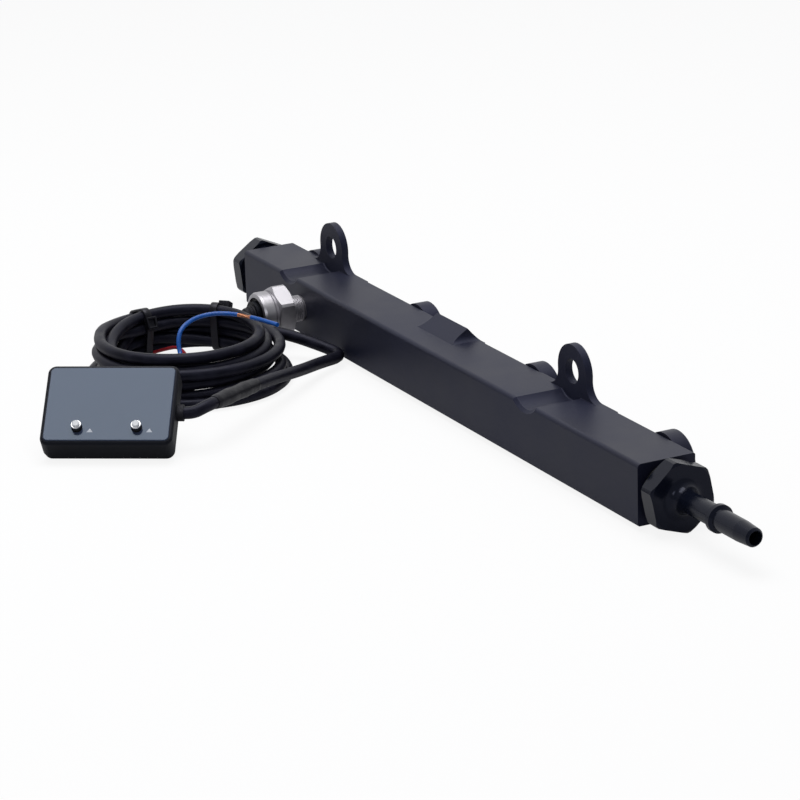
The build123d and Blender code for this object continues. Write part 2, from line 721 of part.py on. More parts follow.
RED_WIRE_ROUTE = [
    (-37.0, -99.5, -20.0),
    (-50.0, -94.5, -21.0),
    (-63.0, -91.0, -18.6),
    (-74.0, -97.5, -22.0),
    (-82.5, -104.5, -24.0),
]


# Pressure meter


def meter_bottom_cover():
    """The shallow tray that closes the meter from below, with its four counterbored screw holes."""
    width = METER_WIDTH - 2 * COVER_INSET
    depth = METER_DEPTH - 2 * COVER_INSET
    tray = slab(width, depth, 0, COVER_HEIGHT, METER_CORNER_RADIUS)
    tray = fillet(tray.edges().group_by(Axis.Z)[0], COVER_ROUNDING)
    inside = METER_WALL + COVER_INSET
    tray -= slab(
        METER_WIDTH - 2 * inside,
        METER_DEPTH - 2 * inside,
        COVER_HEIGHT - BOARD_GAP,
        COVER_HEIGHT + 1,
        METER_CORNER_RADIUS - METER_WALL,
    )
    for x, y in screw_places:
        tray += Pos(x, y, 0) * disc(POST_DIAMETER / 2, COVER_HEIGHT - BOARD_GAP - POST_ROOT, COVER_HEIGHT)
    shank_hole = disc(SCREW_SHANK_DIAMETER / 2 + FIT_CLEARANCE, -1, COVER_HEIGHT + 1)
    head_hole = disc(SCREW_HEAD_DIAMETER / 2 + FIT_CLEARANCE, -1, SCREW_RECESS + SCREW_HEAD_HEIGHT)
    for x, y in screw_places:
        tray -= Pos(x, y, 0) * shank_hole
        tray -= Pos(x, y, 0) * head_hole
    return tray


def sleeve_outline(grow):
    """The oval of the lead's sleeve in the side wall, widened all round by a given amount."""
    wall = Plane(origin=(METER_WIDTH / 2, SLEEVE_Y, SLEEVE_Z), x_dir=(0, 1, 0), z_dir=(1, 0, 0))
    return wall, SlotOverall(SLEEVE_WIDTH + 2 * grow, SLEEVE_HEIGHT + 2 * grow)


def meter_case():
    """The upper shell with the ledge that carries the face, screw posts and the sleeve's hole."""
    shell = slab(METER_WIDTH, METER_DEPTH, COVER_HEIGHT, rim_top, METER_CORNER_RADIUS)
    shell = fillet(shell.edges().group_by(Axis.Z)[-1], RIM_ROUNDING)
    inner_corner = METER_CORNER_RADIUS - METER_WALL
    ledge_base = face_base - FACE_CLEARANCE - LEDGE_THICKNESS
    shell -= slab(
        METER_WIDTH - 2 * METER_WALL,
        METER_DEPTH - 2 * METER_WALL,
        COVER_HEIGHT - 1,
        ledge_base,
        inner_corner,
    )
    window = METER_WALL + LEDGE_WIDTH
    shell -= slab(
        METER_WIDTH - 2 * window,
        METER_DEPTH - 2 * window,
        ledge_base - 1,
        rim_top + 1,
        inner_corner,
    )
    recess = FACE_INSET - FACE_CLEARANCE
    shell -= slab(
        METER_WIDTH - 2 * recess,
        METER_DEPTH - 2 * recess,
        face_base - FACE_CLEARANCE,
        rim_top + 1,
        METER_CORNER_RADIUS - recess,
    )
    for x, y in screw_places:
        shell += Pos(x, y, 0) * disc(POST_DIAMETER / 2, board_top + FIT_CLEARANCE, ledge_base + POST_ROOT)
    thread_hole = disc(SCREW_SHANK_DIAMETER / 2, board_top - 1, SCREW_LENGTH + SCREW_HOLE_SPARE)
    for x, y in screw_places:
        shell -= Pos(x, y, 0) * thread_hole
    wall, outline = sleeve_outline(FIT_CLEARANCE)
    shell -= extrude(wall * outline, METER_WALL + 1, both=True)
    return shell


def meter_face():
    """The dark glossy panel over the display, drilled for the two buttons."""
    panel = slab(
        METER_WIDTH - 2 * FACE_INSET,
        METER_DEPTH - 2 * FACE_INSET,
        face_base,
        face_top,
        METER_CORNER_RADIUS - FACE_INSET,
    )
    panel = chamfer(panel.edges().group_by(Axis.Z)[-1], FACE_CHAMFER)
    button_hole = disc(BUTTON_DIAMETER / 2 + BUTTON_HOLE_CLEARANCE, face_base - 1, face_top + 1)
    for x in button_xs:
        panel -= Pos(x, BUTTON_Y, 0) * button_hole
    return panel


def meter_circuit_board():
    """The board on the cover's posts, drilled for the screws and notched for the sleeve's flange."""
    margin = METER_WALL + 2 * FIT_CLEARANCE
    board = slab(
        METER_WIDTH - 2 * margin,
        METER_DEPTH - 2 * margin,
        board_base,
        board_top,
        METER_CORNER_RADIUS - METER_WALL,
    )
    screw_hole = disc(SCREW_SHANK_DIAMETER / 2 + FIT_CLEARANCE, board_base - 1, board_top + 1)
    for x, y in screw_places:
        board -= Pos(x, y, 0) * screw_hole
    notch_depth = METER_WALL + SLEEVE_FLANGE_THICKNESS + 4 * FIT_CLEARANCE
    notch_width = SLEEVE_WIDTH + 2 * SLEEVE_FLANGE_GROWTH + 4 * FIT_CLEARANCE
    notch = Box(2 * notch_depth, notch_width, 3 * BOARD_THICKNESS)
    return board - Pos(METER_WIDTH / 2, SLEEVE_Y, board_base) * notch


def meter_display():
    """The digit module, from the board up to just under the face."""
    top = face_base - LEDGE_THICKNESS / 2
    module = Pos(0, DISPLAY_Y, (board_top + top) / 2) * Box(DISPLAY_WIDTH, DISPLAY_DEPTH, top - board_top)
    return module


def meter_switch(x):
    """A square push switch, hollow inside, its lid pierced for the button's stem."""
    body = Pos(0, 0, board_top + SWITCH_HEIGHT / 2) * Box(SWITCH_SIZE, SWITCH_SIZE, SWITCH_HEIGHT)
    inside = board_top + SWITCH_FLOOR
    body -= disc(STEM_FOOT_DIAMETER / 2 + STEM_CLEARANCE, inside, stem_foot_top + STEM_CLEARANCE)
    body -= disc(BUTTON_DIAMETER / 2 + STEM_CLEARANCE, inside, board_top + SWITCH_HEIGHT + 1)
    return Pos(x, BUTTON_Y, 0) * body


def button_stem(x):
    """The black stem, held in the switch by its foot, that comes up through the face."""
    top = face_top + BUTTON_PROUD - CAP_DOME_HEIGHT - CAP_RING_THICKNESS
    foot_bottom = board_top + SWITCH_FLOOR + BUTTON_TRAVEL + FIT_CLEARANCE
    foot = disc(STEM_FOOT_DIAMETER / 2, foot_bottom, stem_foot_top)
    return Pos(x, BUTTON_Y, 0) * (foot + disc(BUTTON_DIAMETER / 2, foot_bottom, top))


def button_cap(x):
    """The bright ring and pale dome on the end of the stem."""
    base = face_top + BUTTON_PROUD - CAP_DOME_HEIGHT - CAP_RING_THICKNESS
    rim = disc(CAP_RING_DIAMETER / 2, base, base + CAP_RING_THICKNESS)
    rim = chamfer(rim.edges().sort_by(Axis.Z)[-1], CAP_RING_CHAMFER)
    ring_top = base + CAP_RING_THICKNESS
    dome = disc(CAP_DOME_DIAMETER / 2, ring_top - CAP_DOME_ROOT, ring_top + CAP_DOME_HEIGHT)
    dome = fillet(dome.edges().sort_by(Axis.Z)[-1], CAP_DOME_ROUNDING)
    return Pos(x, BUTTON_Y, 0) * (rim + dome)


def meter_sleeve():
    """The oval sleeve that holds the lead in the side wall, with a flange inside."""
    wall, outline = sleeve_outline(0)
    inner_end = METER_WALL + FIT_CLEARANCE + SLEEVE_FLANGE_THICKNESS
    body = extrude(wall * outline, SLEEVE_LENGTH) + extrude(wall * outline, -inner_end)
    _, wide = sleeve_outline(SLEEVE_FLANGE_GROWTH)
    return body + Pos(-inner_end, 0, 0) * extrude(wall * wide, SLEEVE_FLANGE_THICKNESS)


def meter_screws():
    """The four self-tapping screws of the bottom cover."""
    screws = []
    for x, y in screw_places:
        head = disc(SCREW_HEAD_DIAMETER / 2, SCREW_RECESS, SCREW_RECESS + SCREW_HEAD_HEIGHT)
        shank = disc(SCREW_SHANK_DIAMETER / 2 - SCREW_PLAY, SCREW_RECESS, SCREW_RECESS + SCREW_LENGTH)
        cross = Box(SCREW_SLOT_LENGTH, SCREW_SLOT_WIDTH, SCREW_SLOT_DEPTH)
        cross += Box(SCREW_SLOT_WIDTH, SCREW_SLOT_LENGTH, SCREW_SLOT_DEPTH)
        screws.append(Pos(x, y, 0) * (head + shank - Pos(0, 0, SCREW_RECESS) * cross))
    return Compound(children=screws)


# The whole assembly

lead_path = route(meter_lead_route(), "meter_lead")
sensor_lead_path = route(sensor_lead_route(), "sensor_lead")
blue_path = route(BLUE_WIRE_ROUTE, "power_wire_blue")
red_path = route(RED_WIRE_ROUTE, "power_wire_red")

save(rail_body(), "rail_body")
save(inlet_fitting(), "inlet_fitting")
save(face_seal(inlet_frame), "inlet_seal")
save(end_plug(), "end_plug")
save(face_seal(plug_frame), "plug_seal")

save(sensor_body(), "sensor_body")
save(sensor_seal(), "sensor_seal")
save(sensor_cell(), "sensor_cell")
save(sensor_board(), "sensor_board")
save(sensor_insert(), "sensor_insert")
save(sensor_gland(), "sensor_gland")

save(tube(sensor_lead_path, cable_radius, "sensor_lead"), "sensor_lead")
save(cable_coil(), "cable_coil")
save(tube(lead_path, cable_radius, "meter_lead"), "meter_lead")
save(heat_shrink(lead_path), "heat_shrink")
save(tube(blue_path, WIRE_DIAMETER / 2, "power_wire_blue"), "power_wire_blue")
save(tube(red_path, WIRE_DIAMETER / 2, "power_wire_red"), "power_wire_red")
for number, angle in enumerate(TIE_ANGLES, start=1):
    save(cable_tie(angle), f"cable_tie_{number}")

save(in_frame(meter_frame, meter_case()), "meter_case")
save(in_frame(meter_frame, meter_face()), "meter_face")
save(in_frame(meter_frame, meter_bottom_cover()), "meter_bottom_cover")
save(in_frame(meter_frame, meter_circuit_board()), "meter_circuit_board")
save(in_frame(meter_frame, meter_display()), "meter_display")
save(in_frame(meter_frame, meter_sleeve()), "meter_sleeve")
save(in_frame(meter_frame, meter_screws()), "meter_screws")
for side, x in zip(("left", "right"), button_xs):
    save(in_frame(meter_frame, meter_switch(x)), f"meter_switch_{side}")
    save(in_frame(meter_frame, button_stem(x)), f"button_stem_{side}")
    save(in_frame(meter_frame, button_cap(x)), f"button_cap_{side}")
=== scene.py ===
import math

import bpy
from mathutils import Matrix, Vector


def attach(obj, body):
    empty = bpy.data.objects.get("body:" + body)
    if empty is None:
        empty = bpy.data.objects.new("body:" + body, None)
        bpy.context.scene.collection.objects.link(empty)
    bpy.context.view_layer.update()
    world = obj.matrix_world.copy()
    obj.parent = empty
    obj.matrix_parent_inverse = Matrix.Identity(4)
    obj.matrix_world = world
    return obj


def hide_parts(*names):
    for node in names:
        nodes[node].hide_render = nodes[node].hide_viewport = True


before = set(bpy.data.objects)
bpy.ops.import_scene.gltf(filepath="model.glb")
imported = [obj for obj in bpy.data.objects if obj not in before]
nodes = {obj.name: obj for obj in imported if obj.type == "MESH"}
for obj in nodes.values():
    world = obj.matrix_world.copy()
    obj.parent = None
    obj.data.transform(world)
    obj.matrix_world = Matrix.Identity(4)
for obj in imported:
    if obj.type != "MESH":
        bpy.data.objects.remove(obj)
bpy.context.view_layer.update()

bpy.ops.object.select_all(action="DESELECT")

# The photographer's place: a long lens in front of the inlet end, a little above the rail.
# The camera leans by about two degrees, as it was held by hand. Distances are in metres.
lens = bpy.data.cameras.new("photo_camera")
lens.sensor_width = 36.0
lens.lens = 149.64
lens.clip_start = 0.05
lens.clip_end = 20.0
camera = bpy.data.objects.new("photo_camera", lens)
bpy.context.scene.collection.objects.link(camera)
view_right = Vector((0.45090, 0.89257, 0.0))
view_up = Vector((-0.28108, 0.14199, 0.94912))
view_back = Vector((0.84716, -0.42796, 0.31491))
lean_cosine, lean_sine = 0.99947, 0.03258
camera_x = lean_cosine * view_right - lean_sine * view_up
camera_y = lean_sine * view_right + lean_cosine * view_up
camera_place = (1.1087, -0.5836, 0.3766)
camera_turn = Matrix((camera_x, camera_y, view_back)).transposed()
camera.matrix_world = Matrix.Translation(camera_place) @ camera_turn.to_4x4()
bpy.context.scene.camera = camera
bpy.context.scene.view_settings.view_transform = "Standard"

# The studio: a white table in a white surround, one wide softbox above, and a weaker one low on
# the camera's side. The camera sees the surround plain white, and the object's own reflections
# find it white behind the rail and dim on the camera's side, where the room was dark.
floor_height = -0.0335
table_size = 6.0


def seen_white(tree, lit, white_kind, camera_share, mirror_share, strength=1.0):
    """Mix a lit surface with white, by how much of the white the camera and reflections see."""
    path = tree.nodes.new("ShaderNodeLightPath")
    share = None
    rays = {
        "Is Camera Ray": camera_share,
        "Is Glossy Ray": mirror_share,
        "Is Transmission Ray": mirror_share,
    }
    for ray, part in rays.items():
        step = tree.nodes.new("ShaderNodeMath")
        step.operation = "MULTIPLY_ADD"
        step.use_clamp = True
        tree.links.new(path.outputs[ray], step.inputs[0])
        if isinstance(part, bpy.types.NodeSocket):
            tree.links.new(part, step.inputs[1])
        else:
            step.inputs[1].default_value = part
        if share is None:
            step.inputs[2].default_value = 0.0
        else:
            tree.links.new(share, step.inputs[2])
        share = step.outputs[0]
    white = tree.nodes.new(white_kind)
    white.inputs["Color"].default_value = (1.0, 1.0, 1.0, 1.0)
    white.inputs["Strength"].default_value = strength
    mix = tree.nodes.new("ShaderNodeMixShader")
    tree.links.new(share, mix.inputs[0])
    tree.links.new(lit.outputs[0], mix.inputs[1])
    tree.links.new(white.outputs[0], mix.inputs[2])
    return mix


world = bpy.data.worlds.new("studio")
bpy.context.scene.world = world
world.use_nodes = True
tree = world.node_tree
tree.nodes.clear()
sky = tree.nodes.new("ShaderNodeBackground")
sky.inputs["Color"].default_value = (0.93, 0.96, 1.0, 1.0)
sky.inputs["Strength"].default_value = 0.26
way = tree.nodes.new("ShaderNodeTexCoord")
backwards = tree.nodes.new("ShaderNodeVectorMath")
backwards.operation = "DOT_PRODUCT"
tree.links.new(way.outputs["Generated"], backwards.inputs[0])
backwards.inputs[1].default_value = (-0.82, 0.42, 0.39)
fade = tree.nodes.new("ShaderNodeMapRange")
tree.links.new(backwards.outputs["Value"], fade.inputs["Value"])
fade.inputs["From Min"].default_value = -0.2
fade.inputs["From Max"].default_value = 0.9
fade.inputs["To Min"].default_value = 0.05
fade.inputs["To Max"].default_value = 0.72
behind = fade.outputs["Result"]
mix = seen_white(tree, sky, "ShaderNodeBackground", camera_share=1.0, mirror_share=behind)
output = tree.nodes.new("ShaderNodeOutputWorld")
tree.links.new(mix.outputs[0], output.inputs["Surface"])

bpy.ops.mesh.primitive_plane_add(size=table_size, location=(0.0, 0.0, floor_height))
table = bpy.context.object
table.name = "white_table"
paint = bpy.data.materials.new("white_table")
paint.use_nodes = True
tree = paint.node_tree
tree.nodes.clear()
cloth = tree.nodes.new("ShaderNodeBsdfDiffuse")
cloth.inputs["Color"].default_value = (0.55, 0.55, 0.56, 1.0)
mix = seen_white(
    tree, cloth, "ShaderNodeEmission", camera_share=0.75, mirror_share=0.1, strength=1.17
)
output = tree.nodes.new("ShaderNodeOutputMaterial")
tree.links.new(mix.outputs[0], output.inputs["Surface"])
table.data.materials.append(paint)


def softbox(name, place, aim, size, power, colour):
    """A square lamp at one place, turned to face another."""
    lamp = bpy.data.lights.new(name, "AREA")
    lamp.shape = "SQUARE"
    lamp.size = size
    lamp.energy = power
    lamp.color = colour
    holder = bpy.data.objects.new(name, lamp)
    holder.location = place
    holder.rotation_mode = "QUATERNION"
    holder.rotation_quaternion = (Vector(aim) - Vector(place)).to_track_quat("-Z", "Y")
    bpy.context.scene.collection.objects.link(holder)


softbox(
    "top_softbox",
    place=(-0.1, -0.1, 1.05),
    aim=(-0.02, -0.12, 0.0),
    size=0.9,
    power=8.4,
    colour=(1.0, 0.99, 0.98),
)
softbox(
    "side_softbox",
    place=(0.9, -0.7, 0.5),
    aim=(0.0, -0.05, 0.0),
    size=0.35,
    power=0.9,
    colour=(0.95, 0.97, 1.0),
)

# The rail body: one length of square aluminium bar, milled all over, bead blasted and
# anodised black. Its grain is fine and even, with faint cloudy patches from handling.


class Value:
    """One output of a shader node, so that shader maths reads as plain sums."""

    def __init__(self, finish, socket):
        self.finish = finish
        self.socket = socket

    def _math(self, operation, first, second):
        return self.finish.node("ShaderNodeMath", {"operation": operation}, {0: first, 1: second})

    def __add__(self, other):
        return self._math("ADD", self, other)

    def __radd__(self, other):
        return self._math("ADD", other, self)

    def __sub__(self, other):
        return self._math("SUBTRACT", self, other)

    def __rsub__(self, other):
        return self._math("SUBTRACT", other, self)

    def __mul__(self, other):
        return self._math("MULTIPLY", self, other)

    def __gt__(self, other):
        return self._math("GREATER_THAN", self, other)

    def __lt__(self, other):
        return self._math("LESS_THAN", self, other)

    def at_most(self, other):
        return self._math("MINIMUM", self, other)


class Finish:
    """A surface finish: a principled shader and the nodes that vary it."""

    def __init__(self, name, roughness, **constants):
        self.material = bpy.data.materials.new(name)
        self.material.use_nodes = True
        self.tree = self.material.node_tree
        self.shader = self.tree.nodes["Principled BSDF"]
        self.shader.inputs["Roughness"].default_value = roughness
        for socket, value in constants.items():
            self.shader.inputs[socket.replace("_", " ")].default_value = value
        self.place = self.node("ShaderNodeTexCoord", {}, {}, "Object")

    def node(self, kind, settings, sockets, out=0):
        """Add a shader node, set it up, and link or fill its sockets."""
        made = self.tree.nodes.new(kind)
        for setting, value in settings.items():
            setattr(made, setting, value)
        for socket, value in sockets.items():
            if isinstance(value, Value):
                self.tree.links.new(value.socket, made.inputs[socket])
            else:
                made.inputs[socket].default_value = value
        return Value(self, made.outputs[out])

    def noise(self, scale, detail=2.0, rough=0.5, stretch=(1.0, 1.0, 1.0)):
        """Noise on the object's own coordinates, about 0.3 to 0.7, so many blobs to a metre."""
        place = self.node("ShaderNodeMapping", {}, {"Vector": self.place, "Scale": stretch})
        sockets = {"Vector": place, "Scale": scale, "Detail": detail, "Roughness": rough}
        return self.node("ShaderNodeTexNoise", {}, sockets)

    def spread(self, value, low, high, bottom=0.0, top=1.0):
        """Carry the range low to high over to bottom to top."""
        ends = {"From Min": low, "From Max": high, "To Min": bottom, "To Max": top}
        return self.node("ShaderNodeMapRange", {}, {"Value": value, **ends})

    def tint(self, factor, first, second):
        """Mix two colours, the second one as far as the factor says."""
        settings = {"data_type": "RGBA"}
        return self.node("ShaderNodeMix", settings, {0: factor, 6: first, 7: second}, 2)

    def along(self, direction):
        """How far a point lies along a direction, in metres."""
        settings = {"operation": "DOT_PRODUCT"}
        return self.node("ShaderNodeVectorMath", settings, {0: self.place, 1: direction}, "Value")

    def colour(self, value):
        self.tree.links.new(value.socket, self.shader.inputs["Base Color"])

    def rough(self, value):
        self.tree.links.new(value.socket, self.shader.inputs["Roughness"])

    def metal(self, value):
        self.tree.links.new(value.socket, self.shader.inputs["Metallic"])

    def bump(self, height, depth):
        """Give the surface a relief, its depth in metres for a height from 0 to 1."""
        sockets = {"Height": height, "Strength": 1.0, "Distance": depth}
        relief = self.node("ShaderNodeBump", {}, sockets, "Normal")
        self.tree.links.new(relief.socket, self.shader.inputs["Normal"])


def dress(node, finish):
    """Give a CAD node one finish all over."""
    mesh = nodes[node].data
    mesh.materials.clear()
    mesh.materials.append(finish.material)


rail_black = Finish("rail_anodised", 0.4, IOR=1.52, Specular_Tint=(0.40, 0.41, 0.60, 1.0))
clouds = rail_black.noise(14.0, 4.0, 0.6)
grain = rail_black.noise(3400.0, 2.0, 0.6)
deep, pale = (0.008, 0.009, 0.020, 1.0), (0.014, 0.016, 0.034, 1.0)
rail_black.colour(rail_black.tint(rail_black.spread(clouds, 0.35, 0.65), deep, pale))
rail_black.rough(rail_black.spread(clouds, 0.35, 0.65, 0.36, 0.47) + grain * 0.06)
rail_black.bump(grain, 0.00002)
dress("rail_body", rail_black)

# The inlet fitting and the end plug: turned from hexagon bar and anodised a glossier black,
# with faint tool rings round their axis. Each bears on an O-ring in front of the rail's end.
fitting_black = Finish("fitting_anodised", 0.16, IOR=1.48, Specular_Tint=(0.40, 0.42, 0.56, 1.0))
tool_rings = fitting_black.noise(9000.0, 1.0, 0.5, (1.0, 0.01, 0.01))
smears = fitting_black.noise(60.0, 3.0)
deep, pale = (0.003, 0.004, 0.009, 1.0), (0.006, 0.008, 0.017, 1.0)
fitting_black.colour(fitting_black.tint(smears, deep, pale))
fitting_black.rough(fitting_black.spread(smears, 0.3, 0.7, 0.10, 0.17) + tool_rings * 0.04)
fitting_black.bump(tool_rings, 0.00001)
dress("inlet_fitting", fitting_black)
dress("end_plug", fitting_black)

# The seals: matt black rubber rings, one under each fitting and one inside the sensor. They
# have the greyish bloom that new rubber has.
seal_rubber = Finish("seal_rubber", 0.5, IOR=1.45, Specular_Tint=(0.5, 0.5, 0.55, 1.0))
bloom = seal_rubber.noise(900.0, 3.0)
seal_rubber.colour(seal_rubber.tint(bloom, (0.005, 0.005, 0.006, 1.0), (0.012, 0.012, 0.013, 1.0)))
seal_rubber.rough(seal_rubber.spread(bloom, 0.3, 0.7, 0.42, 0.6))
for node in ("inlet_seal", "plug_seal", "sensor_seal"):
    dress(node, seal_rubber)

# The pressure sensor: a stainless body turned and milled in one, its thin shell crimped over
# a black moulded plug. Its pipe thread shows between the hexagon and the rail.
sensor_x, sensor_z = -0.0884, -0.02
rail_front = -0.0235
stainless = Finish("stainless", 0.24, Metallic=1.0)
turning = stainless.noise(5200.0, 2.0, 0.6, (0.03, 1.0, 0.03))
handling = stainless.noise(160.0, 3.0)
stainless.colour(stainless.tint(handling, (0.42, 0.41, 0.44, 1.0), (0.54, 0.53, 0.56, 1.0)))
stainless.rough(stainless.spread(handling, 0.3, 0.7, 0.28, 0.4) + turning * 0.08)
stainless.bump(turning, 0.000015)
dress("sensor_body", stainless)

# The sensor's thread: its ridges are a zigzag turned round the sensor's axis, with flat crests,
# and sunk into the plain cone that the CAD model has there.
thread_start, thread_pitch, thread_turns = 0.0004, 0.00091, 7
root_radius, crest_radius, inside_radius = 0.0050, 0.00548, 0.0040
crest_start, crest_end = 0.4 * thread_pitch, 0.6 * thread_pitch
thread_end = thread_start + thread_turns * thread_pitch
zigzag = [(inside_radius, thread_start)]
for turn in range(thread_turns):
    foot = thread_start + turn * thread_pitch
    zigzag.append((root_radius, foot))
    zigzag.append((crest_radius, foot + crest_start))
    zigzag.append((crest_radius, foot + crest_end))
zigzag.append((root_radius, thread_end))
zigzag.append((inside_radius, thread_end))
bpy.ops.mesh.primitive_circle_add(vertices=len(zigzag), radius=0.001)
thread_ridges = bpy.context.object
thread_ridges.name = "sensor_thread_ridges"
for vertex, (radius, reach) in zip(thread_ridges.data.vertices, zigzag):
    vertex.co = (sensor_x + radius, rail_front - reach, sensor_z)
bpy.ops.object.mode_set(mode="EDIT")
bpy.ops.mesh.select_all(action="SELECT")
axis_point = (sensor_x, rail_front, sensor_z)
bpy.ops.mesh.spin(steps=48, angle=2 * math.pi, center=axis_point, axis=(0, 1, 0))
bpy.ops.mesh.select_all(action="SELECT")
bpy.ops.mesh.remove_doubles(threshold=0.00001)
bpy.ops.mesh.normals_make_consistent(inside=False)
bpy.ops.object.mode_set(mode="OBJECT")
thread_ridges.data.materials.append(stainless.material)
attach(thread_ridges, "rail")

# The sensor's plug under the crimped lip, moulded in a finely sparked tool, and the soft boot
# that the cable leaves through. The meter's case and sleeve are made of the same two.
moulding_black = Finish("black_moulding", 0.5, IOR=1.45, Specular_Tint=(0.28, 0.30, 0.38, 1.0))
spark = moulding_black.noise(2600.0, 3.0, 0.6)
deep, pale = (0.003, 0.003, 0.005, 1.0), (0.006, 0.007, 0.010, 1.0)
moulding_black.colour(moulding_black.tint(spark, deep, pale))
moulding_black.rough(moulding_black.spread(spark, 0.3, 0.7, 0.42, 0.58))
moulding_black.bump(spark, 0.00002)
soft_black = Finish("soft_moulding", 0.55, IOR=1.45, Specular_Tint=(0.5, 0.5, 0.58, 1.0))
dusting = soft_black.noise(1300.0, 3.0)
soft_black.colour(soft_black.tint(dusting, (0.005, 0.005, 0.007, 1.0), (0.011, 0.011, 0.014, 1.0)))
soft_black.rough(soft_black.spread(dusting, 0.3, 0.7, 0.48, 0.64))
dress("sensor_insert", moulding_black)
dress("sensor_gland", soft_black)

# Inside the sensor: a white ceramic pressure cell and a green lacquered amplifier board. The
# meter's board has the same lacquer over its glass weave.
ceramic = Finish("ceramic", 0.6)
speckle = ceramic.noise(2000.0, 3.0)
ceramic.colour(ceramic.tint(speckle, (0.78, 0.77, 0.71, 1.0), (0.88, 0.87, 0.83, 1.0)))
dress("sensor_cell", ceramic)
board_green = Finish("circuit_board", 0.35)
weave = board_green.noise(1800.0, 2.0, 0.5, (1.0, 0.2, 1.0))
board_green.colour(board_green.tint(weave, (0.02, 0.15, 0.07, 1.0), (0.05, 0.25, 0.12, 1.0)))
dress("sensor_board", board_green)
dress("meter_circuit_board", board_green)

# The cable: 1.7 metres of round four core cable in a black satin jacket, wound by hand into
# about seven turns, half of them from the sensor and half from the meter. The turns are laid
# in millimetres and degrees round the coil's middle.
cable_thickness = 0.0048
coil_x, coil_y = -61.0, -86.6
coil_middle = Vector((coil_x / 1000, coil_y / 1000, 0))
turn_step = 15
back_angle = 155


def between(stops, place):
    """The values between two stops at a place along them, eased from each to the next."""
    for (before, *first), (after, *second) in zip(stops, stops[1:]):
        if place <= after:
            share = (place - before) / (after - before)
            share = share * share * (3 - 2 * share)
            return [a + (b - a) * share for a, b in zip(first, second)]
    return stops[-1][1:]


def at_back(angle):
    """How near an angle is to the coil's back, where the turns are held up off the floor."""
    return max(0.0, math.cos(math.radians(angle - back_angle))) ** 2


# Each cable's course: the angle wound, the radius and height it aims for, and how firmly.
sensor_course = [
    (150, 43.3, -17.6, 1.0),
    (180, 40.0, -16.8, 0.3),
    (200, 38.6, -16.2, 0.3),
    (245, 35.2, -15.2, 0.3),
    (288, 32.0, -15.2, 0.3),
    (330, 28.4, -15.2, 0.3),
    (360, 27.4, -15.2, 0.3),
    (415, 28.4, -15.3, 0.3),
    (448, 30.0, -15.2, 0.3),
    (486, 33.0, -14.0, 0.3),
    (515, 36.0, -13.3, 0.3),
    (540, 34.8, -14.0, 0.3),
    (575, 32.0, -16.0, 0.3),
    (613, 31.5, -18.6, 0.2),
    (650, 30.6, -19.9, 0.3),
    (690, 28.8, -19.8, 0.3),
    (730, 28.0, -19.8, 0.3),
    (774, 29.6, -19.4, 0.3),
    (792, 31.5, -18.0, 0.2),
    (820, 33.0, -17.6, 0.1),
    (880, 36.5, -18.0, 0.1),
    (950, 34.0, -20.0, 0.02),
    (1080, 33.8, -20.2, 0.2),
    (1140, 36.8, -20.0, 0.3),
    (1170, 37.5, -19.8, 0.2),
    (1240, 38.5, -22.5, 0.02),
    (1320, 33.0, -24.0, 0.02),
    (1410, 29.0, -25.0, 0.02),
]
meter_course = [
    (120, 38.5, -22.8, 0.5),
    (156, 42.0, -25.5, 0.1),
    (200, 39.0, -28.5, 0.1),
    (264, 37.0, -30.5, 0.1),
    (318, 35.5, -31.0, 0.1),
    (350, 36.5, -31.0, 0.3),
    (372, 39.8, -31.0, 0.3),
    (394, 40.7, -30.9, 0.3),
    (415, 38.6, -30.6, 0.3),
    (462, 36.0, -29.0, 0.05),
    (516, 39.8, -28.2, 0.2),
    (588, 33.5, -30.0, 0.02),
    (678, 31.0, -30.5, 0.02),
    (717, 34.5, -28.0, 0.05),
    (750, 39.5, -26.0, 0.2),
    (765, 40.6, -25.4, 0.2),
    (804, 38.0, -25.0, 0.05),
    (876, 38.0, -23.3, 0.05),
    (950, 34.0, -25.5, 0.02),
    (1056, 31.5, -26.0, 0.02),
    (1128, 32.0, -26.0, 0.02),
    (1236, 40.0, -22.0, 0.02),
    (1320, 33.0, -22.0, 0.02),
    (1410, 29.5, -21.0, 0.02),
]
winds = {"sensor": sensor_course, "meter": meter_course}
strands = {}
aims = {}
sections = {}
for cable_name, stops in winds.items():
    for step, angle in enumerate(range(stops[0][0], stops[-1][0] + 1, turn_step)):
        radius, height, firmness = between(stops, angle)
        strands[cable_name, step] = [radius, height]
        aims[cable_name, step] = (radius, height, firmness)
        sections.setdefault(angle % 360, []).append((cable_name, step))

